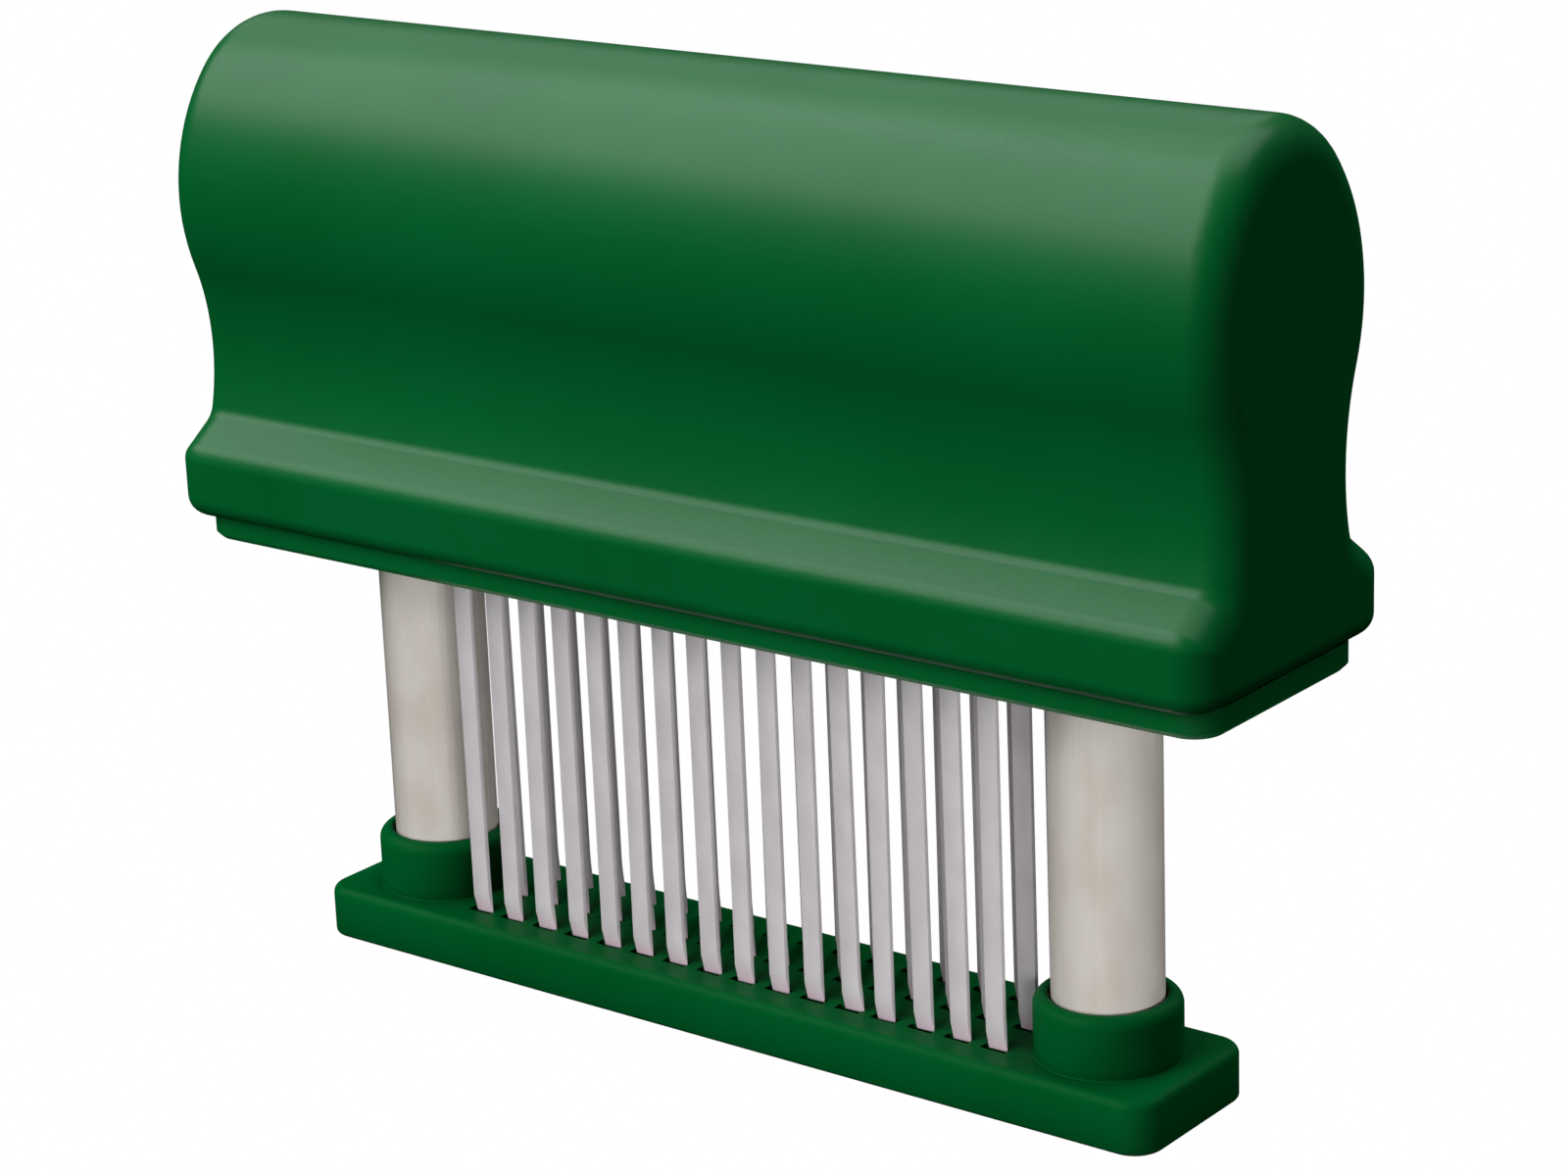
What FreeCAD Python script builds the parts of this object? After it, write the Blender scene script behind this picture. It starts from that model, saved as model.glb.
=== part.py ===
import FreeCAD, Part
import math
import os
import Sketcher

# Blade meat tenderizer: a moulded handle with three rows of blades, and a slotted guard foot
# that slides up its two tube posts against a spring in each of them.
# X runs along the handle, Y is its thickness, Z is up. The origin is the middle of the foot's
# underside. Millimetres; left is -X and front is -Y.

Vector = FreeCAD.Vector
document = FreeCAD.newDocument("BladeTenderizer")

sizes = {
    # motion and stack of heights, from the foot's underside up
    "foot_thickness": 6.3,
    "collar_rise": 7.2,
    "stroke": 35.5,
    "stroke_margin": 2.2,
    "lip_height": 3.3,
    "flange_height": 10.3,
    "waist_rise": 7.2,
    "bulb_rise": 21.0,
    "crown_rise": 20.3,
    # handle moulding
    "handle_reach": 24.25,
    "flange_width": 37.4,
    "waist_width": 24.4,
    "bulb_width": 32.4,
    "bulb_flank_radius": 23.6,
    "shoulder_round": 2.75,
    "end_round": 5.0,
    "flange_under_round": 2.4,
    "wall": 2.4,
    "end_wall": 3.0,
    "flange_wall": 4.0,
    "ledge_wall": 2.6,
    "core_shoulder_round": 0.6,
    "rib_thickness": 2.0,
    "rib_pitch": 40.0,
    # bottom cover
    "cover_end_inset": 1.45,
    "cover_side_inset": 3.05,
    "cover_corner": 4.0,
    "lip_chamfer": 0.7,
    "upstand_height": 2.2,
    "upstand_gap": 0.15,
    "tower_height": 8.0,
    "tower_radius": 7.8,
    "tower_gap": 0.45,
    # blades, their block and the bars that keep them down
    "blade_width": 2.4,
    "blade_thickness": 0.65,
    "blade_pitch": 5.08,
    "row_spacing": 6.35,
    "blades_per_row": 16,
    "tip_depth": 0.25,
    "tip_bevel": 2.2,
    "tip_edge": 0.1,
    "head_width": 3.8,
    "head_height": 6.0,
    "head_seat_rise": 6.0,
    "block_height": 15.0,
    "block_recess": 0.3,
    "block_gap": 0.1,
    "block_side_wall": 1.8,
    "block_end_wall": 0.6,
    "block_flange_reach": 2.5,
    "block_flange_height": 3.0,
    "groove_clearance": 0.15,
    # foot
    "foot_reach": 11.7,
    "foot_width": 22.0,
    "foot_corner": 3.6,
    "foot_top_round": 1.1,
    "foot_under_chamfer": 0.5,
    "collar_radius": 8.4,
    "collar_chamfer": 1.1,
    "collar_mouth_gap": 0.25,
    "collar_mouth_depth": 2.4,
    "slot_clearance": 0.3,
    # posts, their nuts, plugs and springs
    "post_diameter": 12.7,
    "post_wall": 1.0,
    "post_seat": 3.6,
    "post_fit": 0.03,
    "post_overrun": 0.8,
    "running_clearance": 0.05,
    "nut_across": 14.6,
    "nut_height": 2.4,
    "nut_thread_fit": 0.03,
    "stop_gap": 0.05,
    "plug_length": 8.0,
    "plug_fit": 0.03,
    "spring_wire": 0.8,
    "spring_mean_radius": 4.2,
    "spring_turns": 11,
    "spring_sides": 9,
    "spring_end_gap": 0.05,
    "spigot_radius": 3.0,
    "spigot_length": 9.0,
    "seat_radius": 6.2,
    "seat_margin": 1.0,
    # screws
    "cover_screw_head_radius": 2.6,
    "cover_screw_head_height": 1.4,
    "cover_screw_radius": 1.4,
    "cover_screw_length": 8.0,
    "boss_radius": 3.3,
    "boss_gap": 0.2,
    "boss_nut_clearance": 4.9,
    "foot_screw_head_radius": 2.9,
    "foot_screw_head_height": 1.6,
    "foot_screw_radius": 1.5,
    "foot_screw_length": 8.0,
    "screw_sink": 0.2,
    "screw_head_gap": 0.25,
    "screw_hole_gap": 0.2,
    "screw_thread_fit": 0.02,
    "recess_across": 2.0,
    "recess_depth": 0.9,
}

sheet = document.addObject("Spreadsheet::Sheet", "Sizes")
for row, (alias, number) in enumerate(sizes.items(), start=1):
    sheet.set(f"A{row}", alias)
    sheet.set(f"B{row}", str(number))
    sheet.setAlias(f"B{row}", alias)
document.recompute()


class Size:
    """A length read from the sheet, or worked out from such lengths, with its expression."""

    def __init__(self, value, text):
        self.value = value
        self.text = text

    def combine(self, other, sign, result):
        other = other if isinstance(other, Size) else Size(other, str(other))
        return Size(result(self.value, other.value), f"({self.text} {sign} {other.text})")

    def __add__(self, other):
        return self.combine(other, "+", lambda a, b: a + b)

    def __sub__(self, other):
        return self.combine(other, "-", lambda a, b: a - b)

    def __mul__(self, other):
        return self.combine(other, "*", lambda a, b: a * b)

    def __truediv__(self, other):
        return self.combine(other, "/", lambda a, b: a / b)

    def __neg__(self):
        return self * -1


def size(alias):
    return Size(float(sheet.get(alias)), f"{sheet.Name}.{alias}")


# Heights
foot_top = size("foot_thickness")
collar_top = foot_top + size("collar_rise")
cover_bottom = collar_top + size("stroke") + size("stroke_margin")
flange_bottom = cover_bottom + size("lip_height")
flange_top = flange_bottom + size("flange_height")
waist_level = flange_top + size("waist_rise")
bulb_level = waist_level + size("bulb_rise")
crown_level = bulb_level + size("crown_rise")
upstand_top = flange_bottom + size("upstand_height")
tower_top = upstand_top + size("tower_height")
nut_bottom = tower_top + size("stop_gap")
nut_top = nut_bottom + size("nut_height")
post_top = nut_top + size("post_overrun")
spring_seat = post_top + size("stroke") + size("seat_margin")
plug_top = size("post_seat") + size("plug_length")
block_bottom = cover_bottom + size("block_recess")
block_top = upstand_top + size("block_height")
head_seat = upstand_top + size("head_seat_rise")
head_top = head_seat + size("head_height")
tip_level = foot_top - size("tip_depth")
cover_screw_seat = cover_bottom + size("screw_sink") + size("cover_screw_head_height")
cover_screw_tip = cover_screw_seat + size("cover_screw_length")
foot_screw_seat = size("screw_sink") + size("foot_screw_head_height")

# Widths, radii and places: the blade field sets the block, the block the posts, the posts the rest
centre = Size(0, "0")
post_radius = size("post_diameter") / 2
tube_bore = post_radius - size("post_wall")
first_column = -(size("blade_pitch") * (size("blades_per_row") - 1) / 2)
groove_width = size("blade_thickness") + size("groove_clearance") * 2
groove_length = size("head_width") + size("groove_clearance") * 2 - first_column * 2
block_length = groove_length + size("block_end_wall") * 2
block_width = size("row_spacing") * 2 + size("blade_thickness") + size("block_side_wall") * 2
post_x = block_length / 2 + size("tower_gap") + size("tower_radius")
handle_length = (post_x + size("handle_reach")) * 2
core_length = handle_length - size("end_wall") * 2
mouth_width = size("flange_width") - size("flange_wall") * 2
cover_length = handle_length - size("cover_end_inset") * 2
cover_width = size("flange_width") - size("cover_side_inset") * 2
foot_length = (post_x + size("foot_reach")) * 2
cover_screw_x = post_x + size("nut_across") / 2 + size("boss_nut_clearance") + size("boss_radius")

sides = {"left": -1, "right": 1}
rows = {"front": -1, "middle": 0, "rear": 1}
subparts = []


def bind(target, path, length):
    target.setExpression(path, length.text)


def move(target, x=None, y=None, z=None):
    for axis, place in (("x", x), ("y", y), ("z", z)):
        if place is not None:
            bind(target, f"Placement.Base.{axis}", place)


def keep(target, label):
    target.Label = label
    subparts.append(target)
    return target


# Sketches

def origin_feature(body, role):
    for feature in body.Origin.OriginFeatures:
        if feature.Role == role:
            return feature
    raise ValueError(role)


def new_sketch(body, name, plane="XY_Plane", offset=None):
    sketch = body.newObject("Sketcher::SketchObject", name)
    sketch.AttachmentSupport = [(origin_feature(body, plane), "")]
    sketch.MapMode = "FlatFace"
    if offset is not None:
        bind(sketch, "AttachmentOffset.Base.z", offset)
    return sketch


def dimension(sketch, kind, references, length):
    index = sketch.addConstraint(Sketcher.Constraint(kind, *references, length.value))
    sketch.setExpression(f"Constraints[{index}]", length.text)


def place_point(sketch, geometry, end, across, up):
    for kind, length in (("DistanceX", across), ("DistanceY", up)):
        if length is None:
            axis = -2 if kind == "DistanceX" else -1
            sketch.addConstraint(Sketcher.Constraint("PointOnObject", geometry, end, axis))
        else:
            dimension(sketch, kind, (-1, 1, geometry, end), length)


def add_polygon(sketch, corners):
    points = [Vector(across.value, up.value, 0) for across, up in corners]
    first = sketch.GeometryCount
    for index, point in enumerate(points):
        following = points[(index + 1) % len(points)]
        sketch.addGeometry(Part.LineSegment(point, following), False)
    for index, (across, up) in enumerate(corners):
        line = first + index
        following = first + (index + 1) % len(points)
        sketch.addConstraint(Sketcher.Constraint("Coincident", line, 2, following, 1))
        place_point(sketch, line, 1, across, up)


def add_rectangle(sketch, width, depth, middle_across, middle_up):
    low_across = middle_across - width / 2
    low_up = middle_up - depth / 2
    high_across = low_across + width
    high_up = low_up + depth
    add_polygon(sketch, [(low_across, low_up), (high_across, low_up),
                         (high_across, high_up), (low_across, high_up)])


def add_circle(sketch, radius, across=None, up=None):
    middle = Vector(across.value if across else 0, up.value if up else 0, 0)
    index = sketch.addGeometry(Part.Circle(middle, Vector(0, 0, 1), radius.value), False)
    dimension(sketch, "Radius", (index,), radius)
    place_point(sketch, index, 3, across, up)


# Features

def pad(body, sketch, length, both_ways=False):
    feature = body.newObject("PartDesign::Pad", sketch.Name + "Pad")
    feature.Profile = sketch
    feature.Midplane = both_ways
    bind(feature, "Length", length)
    return feature


def pocket(body, sketch, length, upward=False):
    document.recompute()
    before = body.Shape.Volume
    feature = body.newObject("PartDesign::Pocket", sketch.Name + "Pocket")
    feature.Profile = sketch
    feature.Reversed = upward
    bind(feature, "Length", length)
    document.recompute()
    if not feature.Shape.Volume < before:
        raise ValueError(feature.Name + " cuts nothing")
    return feature


def edges_where(feature, test):
    return [f"Edge{number}" for number, edge in enumerate(feature.Shape.Edges, start=1) if test(edge)]


def fillet(body, base, radius, test):
    return soften(body, base, "PartDesign::Fillet", "Radius", radius, test)


def chamfer(body, base, width, test):
    return soften(body, base, "PartDesign::Chamfer", "Size", width, test)


def soften(body, base, kind, path, length, test):
    document.recompute()
    feature = body.newObject(kind, base.Name + kind.split("::")[1])
    feature.Base = (base, edges_where(base, test))
    bind(feature, path, length)
    document.recompute()
    return feature


def near(first, second):
    return abs(first - second) < 0.001


def is_upright(edge):
    box = edge.BoundBox
    return box.ZLength > 0.1 and box.XLength < 0.001 and box.YLength < 0.001


def lies_at(level):
    def test(edge):
        return near(edge.BoundBox.ZMin, level.value) and near(edge.BoundBox.ZMax, level.value)
    return test


def column_pattern(body, originals):
    pattern = body.newObject("PartDesign::LinearPattern", body.Name + "Columns")
    pattern.Originals = originals
    pattern.Direction = (origin_feature(body, "X_Axis"), [""])
    bind(pattern, "Length", -first_column * 2)
    bind(pattern, "Occurrences", size("blades_per_row"))
    body.Tip = pattern
    return pattern


def new_body(name):
    return document.addObject("PartDesign::Body", name)


def turned(name, corners, x):
    """A turned piece: a half-section in the XZ plane, turned about its own upright axis."""
    body = new_body(name)
    sketch = new_sketch(body, name + "Section", "XZ_Plane")
    add_polygon(sketch, corners)
    feature = body.newObject("PartDesign::Revolution", name + "Turned")
    feature.Profile = sketch
    feature.ReferenceAxis = (origin_feature(body, "Z_Axis"), [""])
    feature.Angle = 360
    move(body, x=x)
    return body


def cylinder(name, radius, height, x=None, y=None, z=None):
    solid = document.addObject("Part::Cylinder", name)
    bind(solid, "Radius", radius)
    bind(solid, "Height", height)
    move(solid, x, y, z)
    return solid


def joined(name, pieces):
    fusion = document.addObject("Part::MultiFuse", name)
    fusion.Shapes = pieces
    return fusion


def cut(name, base, tool):
    result = document.addObject("Part::Cut", name)
    result.Base = base
    result.Tool = tool
    return result


# Handle

# Half of the cross-section, from the crown down: bulb flank, waist, neck, flange shoulder, base
def handle_section(body, name, crown, bulb, flank, waist, ledge, shoulder, flange, base):
    flank_across = bulb - flank
    spread = (waist - flank_across).value
    drop = (waist_level - bulb_level).value
    waist_radius = (spread ** 2 + drop ** 2 - flank.value ** 2) / (2 * (flank.value - spread))
    lift = (bulb_level - crown).value
    crown_radius = (flank.value ** 2 - flank_across.value ** 2 - lift ** 2) / (2 * (lift + flank.value))
    neck = flange - shoulder - waist
    crown_middle = Vector(0, crown.value - crown_radius, 0)
    flank_middle = Vector(flank_across.value, bulb_level.value, 0)
    waist_middle = Vector(waist.value + waist_radius, waist_level.value, 0)
    crown_turn = math.atan2(crown_middle.y - flank_middle.y, crown_middle.x - flank_middle.x)
    waist_turn = math.atan2(waist_middle.y - flank_middle.y, waist_middle.x - flank_middle.x)

    sketch = new_sketch(body, name, "YZ_Plane")

    def arc(middle, radius, start, end):
        circle = Part.Circle(middle, Vector(0, 0, 1), radius)
        return sketch.addGeometry(Part.ArcOfCircle(circle, start, end), False)

    def line(start, end):
        return sketch.addGeometry(Part.LineSegment(Vector(*start, 0), Vector(*end, 0)), False)

    crown_arc = arc(crown_middle, crown_radius, crown_turn, math.pi / 2)
    flank_arc = arc(flank_middle, flank.value, waist_turn, crown_turn)
    waist_arc = arc(waist_middle, waist_radius, waist_turn + math.pi, math.pi)
    neck_line = line((waist.value, waist_level.value), (waist.value, (ledge + neck).value))
    neck_middle = Vector((waist + neck).value, (ledge + neck).value, 0)
    neck_arc = arc(neck_middle, neck.value, math.pi, 1.5 * math.pi)
    shoulder_middle = Vector((flange - shoulder).value, (ledge - shoulder).value, 0)
    shoulder_arc = arc(shoulder_middle, shoulder.value, 0, math.pi / 2)
    side_line = line((flange.value, (ledge - shoulder).value), (flange.value, base.value))
    base_line = line((flange.value, base.value), (0, base.value))
    middle_line = line((0, base.value), (0, crown.value))

    for first, first_end, second, second_end in (
            (crown_arc, 1, flank_arc, 2), (flank_arc, 1, waist_arc, 1), (waist_arc, 2, neck_line, 1),
            (neck_line, 2, neck_arc, 1), (neck_arc, 2, shoulder_arc, 2), (shoulder_arc, 1, side_line, 1)):
        sketch.addConstraint(Sketcher.Constraint("Tangent", first, first_end, second, second_end))
    for first, first_end, second, second_end in (
            (side_line, 2, base_line, 1), (base_line, 2, middle_line, 1), (middle_line, 2, crown_arc, 2)):
        sketch.addConstraint(Sketcher.Constraint("Coincident", first, first_end, second, second_end))
    for upright in (neck_line, side_line, middle_line):
        sketch.addConstraint(Sketcher.Constraint("Vertical", upright))
    sketch.addConstraint(Sketcher.Constraint("Horizontal", base_line))
    sketch.addConstraint(Sketcher.Constraint("PointOnObject", crown_arc, 3, -2))
    sketch.addConstraint(Sketcher.Constraint("PointOnObject", crown_arc, 2, -2))
    sketch.addConstraint(Sketcher.Constraint("Vertical", neck_arc, 3, neck_arc, 2))
    dimension(sketch, "DistanceY", (-1, 1, crown_arc, 2), crown)
    dimension(sketch, "Radius", (flank_arc,), flank)
    place_point(sketch, flank_arc, 3, flank_across, bulb_level)
    dimension(sketch, "DistanceY", (-1, 1, waist_arc, 3), waist_level)
    dimension(sketch, "DistanceX", (-1, 1, waist_arc, 2), waist)
    dimension(sketch, "DistanceY", (-1, 1, neck_arc, 2), ledge)
    dimension(sketch, "Radius", (shoulder_arc,), shoulder)
    place_point(sketch, side_line, 2, flange, base)
    return sketch


def mirrored(body, feature):
    mirror = body.newObject("PartDesign::Mirrored", body.Name + "Mirror")
    mirror.Originals = [feature]
    mirror.MirrorPlane = (origin_feature(body, "XZ_Plane"), [""])
    body.Tip = mirror
    return mirror


def make_handle_shell():
    outside = new_body("HandleOutside")
    section = handle_section(
        outside, "OutsideSection", crown_level, size("bulb_width") / 2, size("bulb_flank_radius"),
        size("waist_width") / 2, flange_top, size("shoulder_round"), size("flange_width") / 2,
        flange_bottom)
    whole = mirrored(outside, pad(outside, section, handle_length, both_ways=True))

    end = handle_length.value / 2

    def is_end_edge(edge):
        box = edge.BoundBox
        return near(abs(box.XMin), end) and near(box.XMin, box.XMax) and box.ZLength > 0.001
    rounded = fillet(outside, whole, size("end_round"), is_end_edge)
    fillet(outside, rounded, size("flange_under_round"), lies_at(flange_bottom))

    wall = size("wall")
    core = new_body("HandleCore")
    core_section = handle_section(
        core, "CoreSection", crown_level - wall, size("bulb_width") / 2 - wall,
        size("bulb_flank_radius") - wall, size("waist_width") / 2 - wall,
        flange_top - size("ledge_wall"), size("core_shoulder_round"), mouth_width / 2,
        cover_bottom)
    mirrored(core, pad(core, core_section, core_length, both_ways=True))

    # what the core leaves standing: ribs on the blade block, spring seats, spigots, screw bosses
    standing = []
    pilots = []
    boss_bottom = upstand_top + size("boss_gap")
    spigot_bottom = spring_seat - size("spigot_length")
    pilot_radius = size("cover_screw_radius") + size("screw_thread_fit")
    for side, sign in sides.items():
        rib = document.addObject("Part::Box", f"Rib_{side}")
        bind(rib, "Length", size("rib_thickness"))
        bind(rib, "Width", size("bulb_width"))
        bind(rib, "Height", crown_level - block_top)
        move(rib, (size("rib_pitch") * sign - size("rib_thickness")) / 2, -size("bulb_width") / 2,
             block_top)
        seat = cylinder(f"SpringSeat_{side}", size("seat_radius"), crown_level - spring_seat,
                        post_x * sign, z=spring_seat)
        spigot = cylinder(f"Spigot_{side}", size("spigot_radius"), crown_level - spigot_bottom,
                          post_x * sign, z=spigot_bottom)
        boss = cylinder(f"Boss_{side}", size("boss_radius"), crown_level - boss_bottom,
                        cover_screw_x * sign, z=boss_bottom)
        standing += [rib, seat, spigot, boss]
        pilots.append(cylinder(f"Pilot_{side}", pilot_radius,
                               cover_screw_tip + size("boss_gap") - cover_bottom,
                               cover_screw_x * sign, z=cover_bottom))
    hollow = cut("CoreWithRibs", core, joined("Standing", standing))
    keep(cut("HandleShell", outside, joined("CoreWithPilots", [hollow] + pilots)), "handle_shell")


# Bottom cover

def slot_rectangles(sketch, width, thickness):
    for step in rows.values():
        add_rectangle(sketch, width, thickness, first_column, size("row_spacing") * step)


def make_bottom_cover():
    body = new_body("BottomCover")
    lip = new_sketch(body, "Lip", offset=cover_bottom)
    add_rectangle(lip, cover_length, cover_width, centre, centre)
    plate = fillet(body, pad(body, lip, size("lip_height")), size("cover_corner"), is_upright)
    chamfer(body, plate, size("lip_chamfer"), lies_at(cover_bottom))

    upstand = new_sketch(body, "Upstand", offset=flange_bottom)
    gap = size("upstand_gap") * 2
    add_rectangle(upstand, core_length - gap, mouth_width - gap, centre, centre)
    pad(body, upstand, size("upstand_height"))

    towers = new_sketch(body, "Towers", offset=upstand_top)
    bores = new_sketch(body, "PostBores", offset=cover_bottom)
    heads = new_sketch(body, "CoverScrewHeads", offset=cover_bottom)
    shanks = new_sketch(body, "CoverScrewShanks", offset=cover_bottom)
    for sign in sides.values():
        add_circle(towers, size("tower_radius"), post_x * sign)
        add_circle(bores, post_radius + size("running_clearance"), post_x * sign)
        place = cover_screw_x * sign
        add_circle(heads, size("cover_screw_head_radius") + size("screw_head_gap"), place)
        add_circle(shanks, size("cover_screw_radius") + size("screw_hole_gap"), place)
    pad(body, towers, size("tower_height"))
    pocket(body, bores, tower_top - cover_bottom, upward=True)
    pocket(body, heads, cover_screw_seat - cover_bottom, upward=True)
    pocket(body, shanks, upstand_top - cover_bottom, upward=True)

    window = new_sketch(body, "BlockWindow", offset=cover_bottom)
    gap = size("block_gap") * 2
    add_rectangle(window, block_length + gap, block_width + gap, centre, centre)
    pocket(body, window, upstand_top - cover_bottom, upward=True)
    keep(body, "bottom_cover")


# Blade block, blades and keeper bars

def make_blade_block():
    body = new_body("BladeBlock")
    outline = new_sketch(body, "BlockOutline", offset=block_bottom)
    add_rectangle(outline, block_length, block_width, centre, centre)
    pad(body, outline, block_top - block_bottom)
    flange = new_sketch(body, "BlockFlange", offset=upstand_top)
    add_rectangle(flange, block_length, block_width + size("block_flange_reach") * 2, centre, centre)
    pad(body, flange, size("block_flange_height"))
    grooves = new_sketch(body, "HeadGrooves", offset=block_top)
    for step in rows.values():
        add_rectangle(grooves, groove_length, groove_width, centre, size("row_spacing") * step)
    pocket(body, grooves, block_top - head_seat)
    slots = new_sketch(body, "BlockSlots", offset=block_bottom)
    slot_rectangles(slots, size("blade_width") + size("groove_clearance") * 2, groove_width)
    column_pattern(body, [pocket(body, slots, head_seat - block_bottom, upward=True)])
    keep(body, "blade_block")


def make_blade_row(row, step):
    """Sixteen flat strips with a wider head, each ground to a chisel edge from its front face."""
    body = new_body(f"Blades{row.capitalize()}")
    half_thick = size("blade_thickness") / 2
    edge_front = half_thick - size("tip_edge")
    bevel_top = tip_level + size("tip_bevel")
    shank = new_sketch(body, f"Shank_{row}", "YZ_Plane", first_column)
    add_polygon(shank, [(edge_front, tip_level), (half_thick, tip_level), (half_thick, head_seat),
                        (-half_thick, head_seat), (-half_thick, bevel_top)])
    shank_pad = pad(body, shank, size("blade_width"), both_ways=True)
    head = new_sketch(body, f"Head_{row}", offset=head_seat)
    add_rectangle(head, size("head_width"), size("blade_thickness"), first_column, centre)
    head_pad = pad(body, head, size("head_height"))
    column_pattern(body, [shank_pad, head_pad])
    move(body, y=size("row_spacing") * step)
    keep(body, f"blades_{row}_row")


def make_blade_keeper(row, step):
    bar = document.addObject("Part::Box", f"Keeper_{row}")
    length = groove_length - size("groove_clearance") * 2
    bind(bar, "Length", length)
    bind(bar, "Width", size("blade_thickness"))
    bind(bar, "Height", block_top - head_top)
    move(bar, -(length / 2), size("row_spacing") * step - size("blade_thickness") / 2, head_top)
    keep(bar, f"blade_keeper_{row}")


# Foot

def make_foot_plate():
    body = new_body("FootPlate")
    outline = new_sketch(body, "FootOutline")
    add_rectangle(outline, foot_length, size("foot_width"), centre, centre)
    plate = fillet(body, pad(body, outline, foot_top), size("foot_corner"), is_upright)
    plate = fillet(body, plate, size("foot_top_round"), lies_at(foot_top))
    chamfer(body, plate, size("foot_under_chamfer"), lies_at(centre))

    collars = new_sketch(body, "Collars", offset=size("post_seat"))
    sockets = new_sketch(body, "Sockets", offset=collar_top)
    mouths = new_sketch(body, "Mouths", offset=collar_top)
    heads = new_sketch(body, "FootScrewHeads")
    shanks = new_sketch(body, "FootScrewShanks")
    for sign in sides.values():
        place = post_x * sign
        add_circle(collars, size("collar_radius"), place)
        add_circle(sockets, post_radius + size("post_fit"), place)
        add_circle(mouths, post_radius + size("collar_mouth_gap"), place)
        add_circle(heads, size("foot_screw_head_radius") + size("screw_head_gap"), place)
        add_circle(shanks, size("foot_screw_radius") + size("screw_hole_gap"), place)
    raised = pad(body, collars, collar_top - size("post_seat"))
    chamfer(body, raised, size("collar_chamfer"), lies_at(collar_top))
    pocket(body, sockets, collar_top - size("post_seat"))
    pocket(body, mouths, size("collar_mouth_depth"))
    pocket(body, heads, foot_screw_seat, upward=True)
    pocket(body, shanks, size("post_seat"), upward=True)

    slots = new_sketch(body, "FootSlots", offset=foot_top)
    clearance = size("slot_clearance") * 2
    slot_rectangles(slots, size("blade_width") + clearance, size("blade_thickness") + clearance)
    column_pattern(body, [pocket(body, slots, foot_top)])
    keep(body, "foot_plate")


def make_post(side, sign):
    low, high = size("post_seat"), post_top
    body = turned(f"Post_{side}", [(tube_bore, low), (post_radius, low), (post_radius, high),
                                   (tube_bore, high)], post_x * sign)
    keep(body, f"post_{side}")


def make_stop_nut(side, sign):
    blank = document.addObject("Part::Prism", f"NutBlank_{side}")
    blank.Polygon = 6
    bind(blank, "Circumradius", size("nut_across") / math.sqrt(3))
    bind(blank, "Height", size("nut_height"))
    blank.Placement.Rotation = FreeCAD.Rotation(Vector(0, 0, 1), 30)
    move(blank, post_x * sign, z=nut_bottom)
    bore = cylinder(f"NutBore_{side}", post_radius + size("nut_thread_fit"), size("nut_height"),
                    post_x * sign, z=nut_bottom)
    keep(cut(f"StopNut_{side}", blank, bore), f"stop_nut_{side}")


def make_post_plug(side, sign):
    low, outer = size("post_seat"), tube_bore - size("plug_fit")
    hole = size("foot_screw_radius") + size("screw_thread_fit")
    hole_top = foot_screw_seat + size("foot_screw_length") + size("screw_hole_gap")
    body = turned(f"PostPlug_{side}", [(hole, low), (outer, low), (outer, plug_top), (centre, plug_top),
                                       (centre, hole_top), (hole, hole_top)], post_x * sign)
    keep(body, f"post_plug_{side}")


def make_spring(side, sign):
    """A square-wire coil, drawn with straight pieces between points of a helix."""
    half_wire = size("spring_wire").value / 2
    low = (plug_top + size("spring_end_gap")).value + half_wire
    high = (spring_seat - size("spring_end_gap")).value - half_wire
    turns = int(size("spring_turns").value)
    helix = Part.makeHelix((high - low) / turns, high - low, size("spring_mean_radius").value)
    points = helix.Edges[0].discretize(Number=turns * int(size("spring_sides").value) + 1)
    along = (points[1] - points[0]).normalize()
    across = Vector(0, 0, 1).cross(along).normalize() * half_wire
    up = along.cross(across).normalize() * half_wire
    square = Part.makePolygon([points[0] + across * a + up * b
                               for a, b in ((-1, -1), (1, -1), (1, 1), (-1, 1), (-1, -1))])
    coil = document.addObject("Part::Feature", f"Spring_{side}")
    coil.Shape = Part.makePolygon(points).makePipeShell([square], True, False, 1)
    move(coil, post_x * sign, z=centre + low)
    keep(coil, f"spring_{side}")


# Screws

def screw(name, head_radius, head_height, shank_radius, shank_length, x, head_bottom):
    """A pan-head screw that points up, with a hexagon recess in its head."""
    head = cylinder(name + "Head", head_radius, head_height, x, z=head_bottom)
    seat = head_bottom + head_height
    shank = cylinder(name + "Shank", shank_radius, shank_length, x, z=seat)
    recess = document.addObject("Part::Prism", name + "Recess")
    recess.Polygon = 6
    bind(recess, "Circumradius", size("recess_across") / math.sqrt(3))
    bind(recess, "Height", size("recess_depth"))
    move(recess, x, z=head_bottom)
    return cut(name, joined(name + "Solid", [head, shank]), recess)


def make_screw_pair(name, label, prefix, x, head_bottom):
    pair = document.addObject("Part::Compound", name)
    pair.Links = [screw(f"{name}_{side}", size(prefix + "_head_radius"), size(prefix + "_head_height"),
                        size(prefix + "_radius"), size(prefix + "_length"), x * sign, head_bottom)
                  for side, sign in sides.items()]
    keep(pair, label)


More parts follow.
